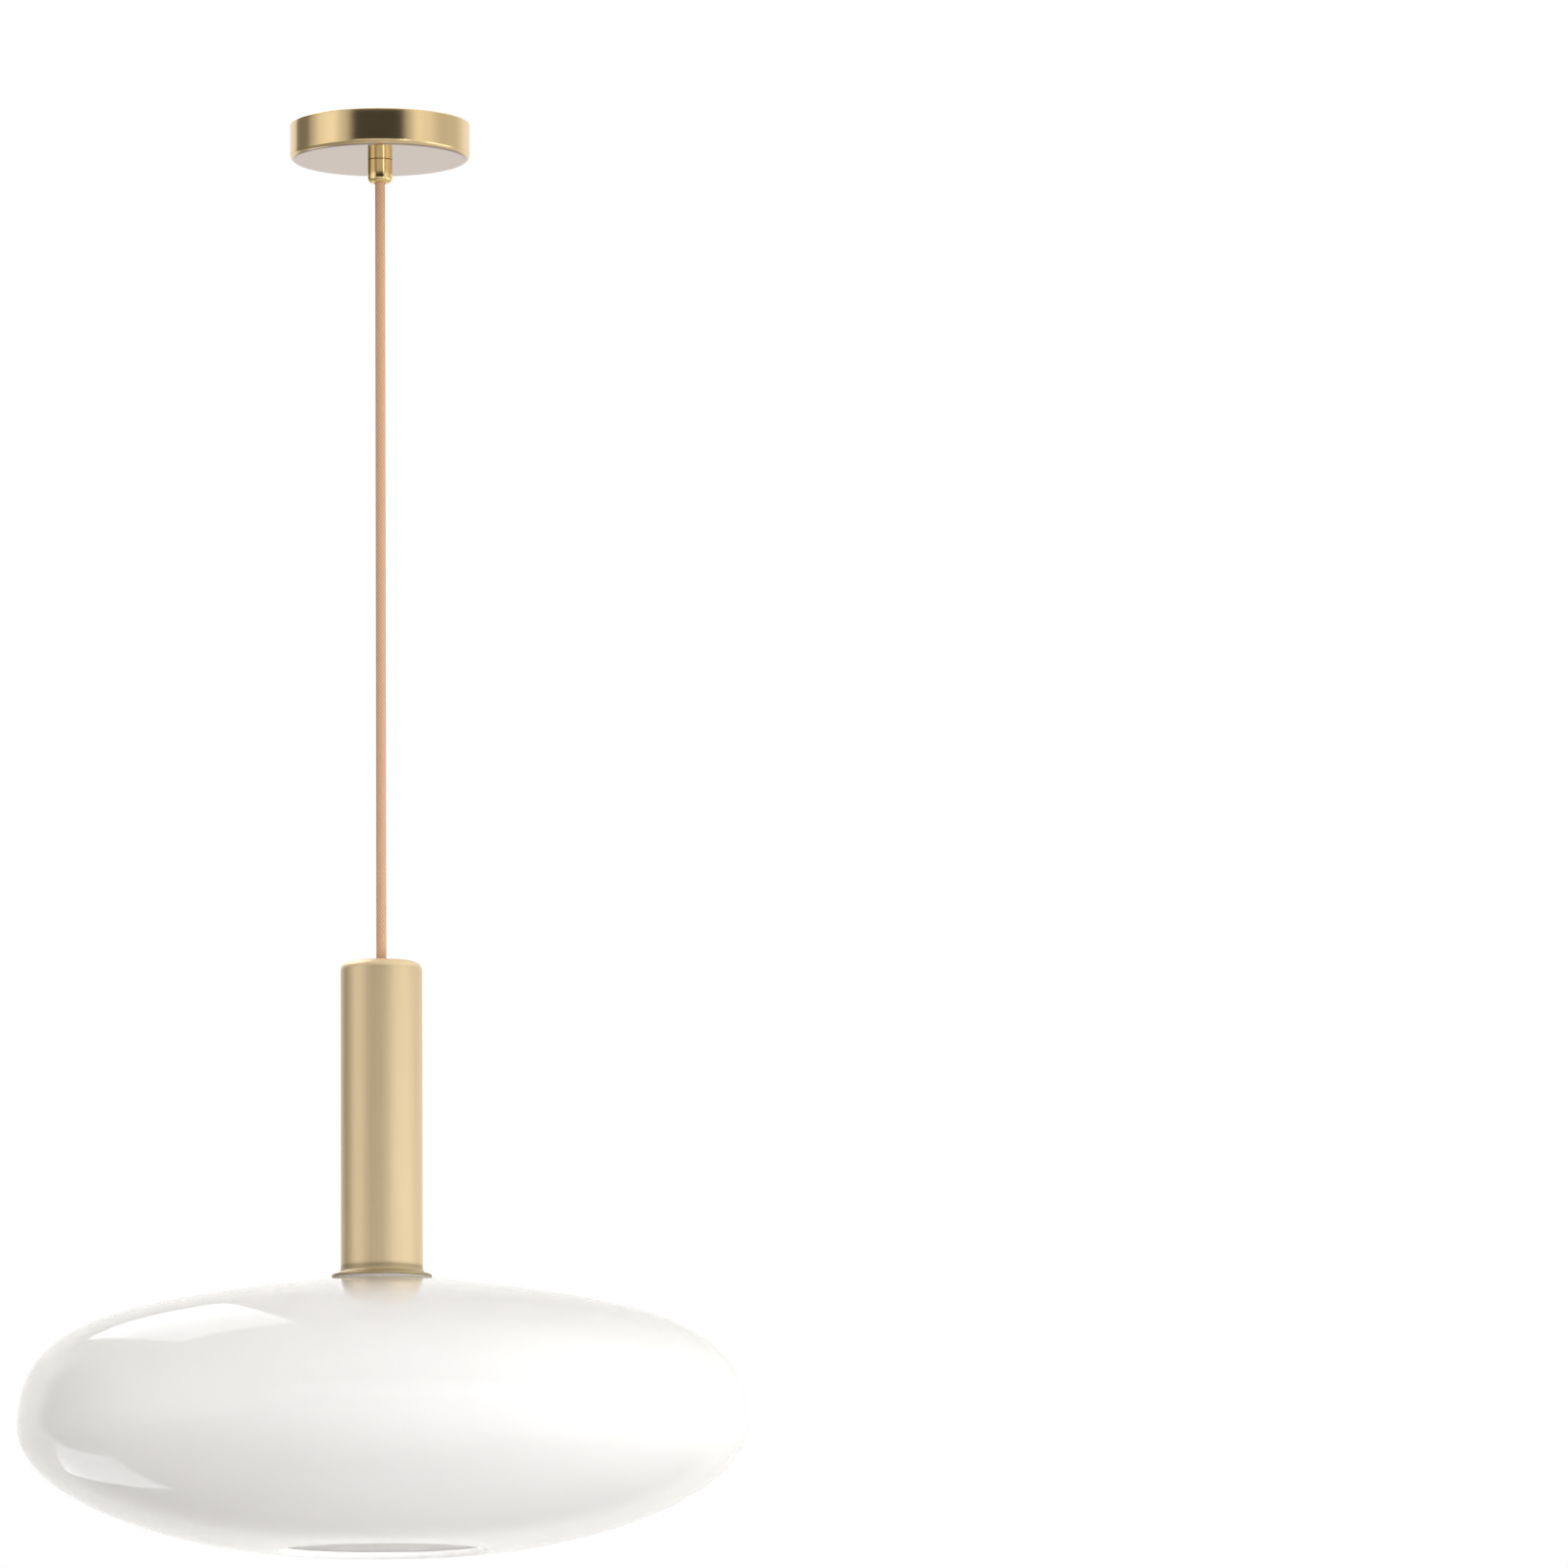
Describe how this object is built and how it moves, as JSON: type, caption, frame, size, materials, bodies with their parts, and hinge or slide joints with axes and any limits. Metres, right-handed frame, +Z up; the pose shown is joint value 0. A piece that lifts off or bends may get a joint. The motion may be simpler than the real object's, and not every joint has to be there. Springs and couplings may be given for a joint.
{
  "type": "pendant ceiling light",
  "caption": "Pendant light: brass canopy, fabric cord, slim brass tube over the lampholder and a wide flattened opal glass shade, open below.",
  "frame": {"origin": "on the lamp's axis in the ceiling plane, midway between the bracket's two slots", "axes": "+Z up, against the way the lamp hangs; +X along the bracket's strap"},
  "size_m": [0.4, 0.3999, 0.7944],
  "materials": {
    "brushed_brass": "brushed lengthwise, clear lacquer",
    "canopy_brass": "spun antique brass, satin wall",
    "polished_brass": "polished",
    "zinc_steel": "zinc plated",
    "cord_fabric": "braided textile sleeve, apricot",
    "block_plastic": "moulded",
    "live_wire": "insulated core, brown",
    "neutral_wire": "insulated core, blue",
    "earth_wire": "insulated core, green and yellow",
    "nylon": "nylon",
    "holder_plastic": "moulded thermoplastic",
    "contact_brass": "pressed",
    "silicone": "translucent silicone",
    "opal_glass": "blown opal glass with a clear gloss outside",
    "bulb_metal": "rolled thread",
    "bulb_insulator": "dark insulator",
    "bulb_body": "moulded",
    "bulb_diffuser": "frosted diffuser"
  },
  "bodies": {
    "ceiling": {"mounting_bracket": "zinc_steel", "threaded_nipple": "zinc_steel", "nipple_nuts": "zinc_steel", "canopy_cup": "canopy_brass", "cord_grip": "polished_brass", "grip_screw": "zinc_steel", "cord_tail_top": "cord_fabric", "terminal_block": "block_plastic", "terminal_screws": "contact_brass", "block_screw": "zinc_steel", "live_lead": "live_wire", "neutral_lead": "neutral_wire", "earth_lead": "earth_wire", "earth_jumper": "earth_wire", "earth_screw": "contact_brass"},
    "cord": {"cord": "cord_fabric"},
    "lamp_head": {"tube_cover": "brushed_brass", "flange_ring": "brushed_brass", "stem_rod": "zinc_steel", "stem_nuts": "zinc_steel", "cord_bushing": "nylon", "cord_tail_lamp": "cord_fabric", "cord_stop": "nylon", "holder_cap": "holder_plastic", "holder_shell": "holder_plastic", "holder_core": "holder_plastic", "screw_shell": "contact_brass", "centre_contact": "contact_brass", "contact_screws": "contact_brass", "holder_live_lead": "live_wire", "holder_neutral_lead": "neutral_wire", "upper_gasket": "silicone"},
    "shade": {"glass_shade": "opal_glass", "lower_gasket": "silicone"},
    "shade_ring": {"shade_ring": "holder_plastic"},
    "bulb": {"bulb_cap": "bulb_metal", "bulb_insulator": "bulb_insulator", "bulb_contact": "bulb_metal", "bulb_collar": "bulb_body", "bulb_glass": "bulb_diffuser"}
  },
  "joints": [
    {"name": "cord_swing", "type": "hinge", "parent": "ceiling", "child": "cord", "pos_m": [0, 0, -0.033], "axis": [0, 1, 0], "range_deg": [-25, 25]},
    {"name": "lamp_tilt", "type": "hinge", "parent": "cord", "child": "lamp_head", "pos_m": [0, 0, -0.4695], "axis": [1, 0, 0], "range_deg": [-20, 20]},
    {"name": "shade_drop", "type": "slide", "parent": "lamp_head", "child": "shade", "axis": [0, 0, -1], "range_m": [0, 0.0125]},
    {"name": "ring_unscrew", "type": "slide", "parent": "lamp_head", "child": "shade_ring", "axis": [0, 0, -1], "range_m": [0, 0.0125]},
    {"name": "bulb_unscrew", "type": "slide", "parent": "lamp_head", "child": "bulb", "axis": [0, 0, -1], "range_m": [0, 0.027]}
  ],
  "couplings": [
    {"joint": "ring_unscrew", "follows": "shade_drop", "ratio": 1}
  ]
}
